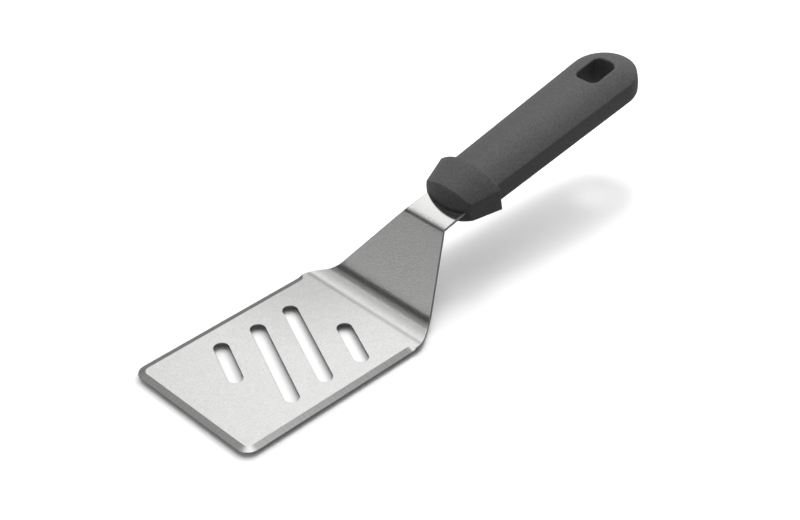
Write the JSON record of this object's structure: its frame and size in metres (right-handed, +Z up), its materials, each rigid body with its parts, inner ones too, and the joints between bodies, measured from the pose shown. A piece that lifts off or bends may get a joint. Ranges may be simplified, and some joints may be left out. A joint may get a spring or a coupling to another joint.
{
  "type": "grill spatula",
  "caption": "Kitchen turner: flat slotted steel blade with a ground edge, cranked up to a tilted dark plastic handle with a flared collar and a hang hole.",
  "frame": {"origin": "centre of the flat underside of the blade", "axes": "+X from the front edge towards the handle, +Y to the blade's left when seen from its front edge looking at the handle, +Z up from the surface that the blade lies on"},
  "size_m": [0.2995, 0.08, 0.0657],
  "materials": {
    "steel": "fine satin faces, with a bevel ground round the front and sides",
    "plastic": "fine matte moulded grain"
  },
  "bodies": {
    "root": {"blade": "steel", "handle": "plastic"}
  },
  "joints": []
}
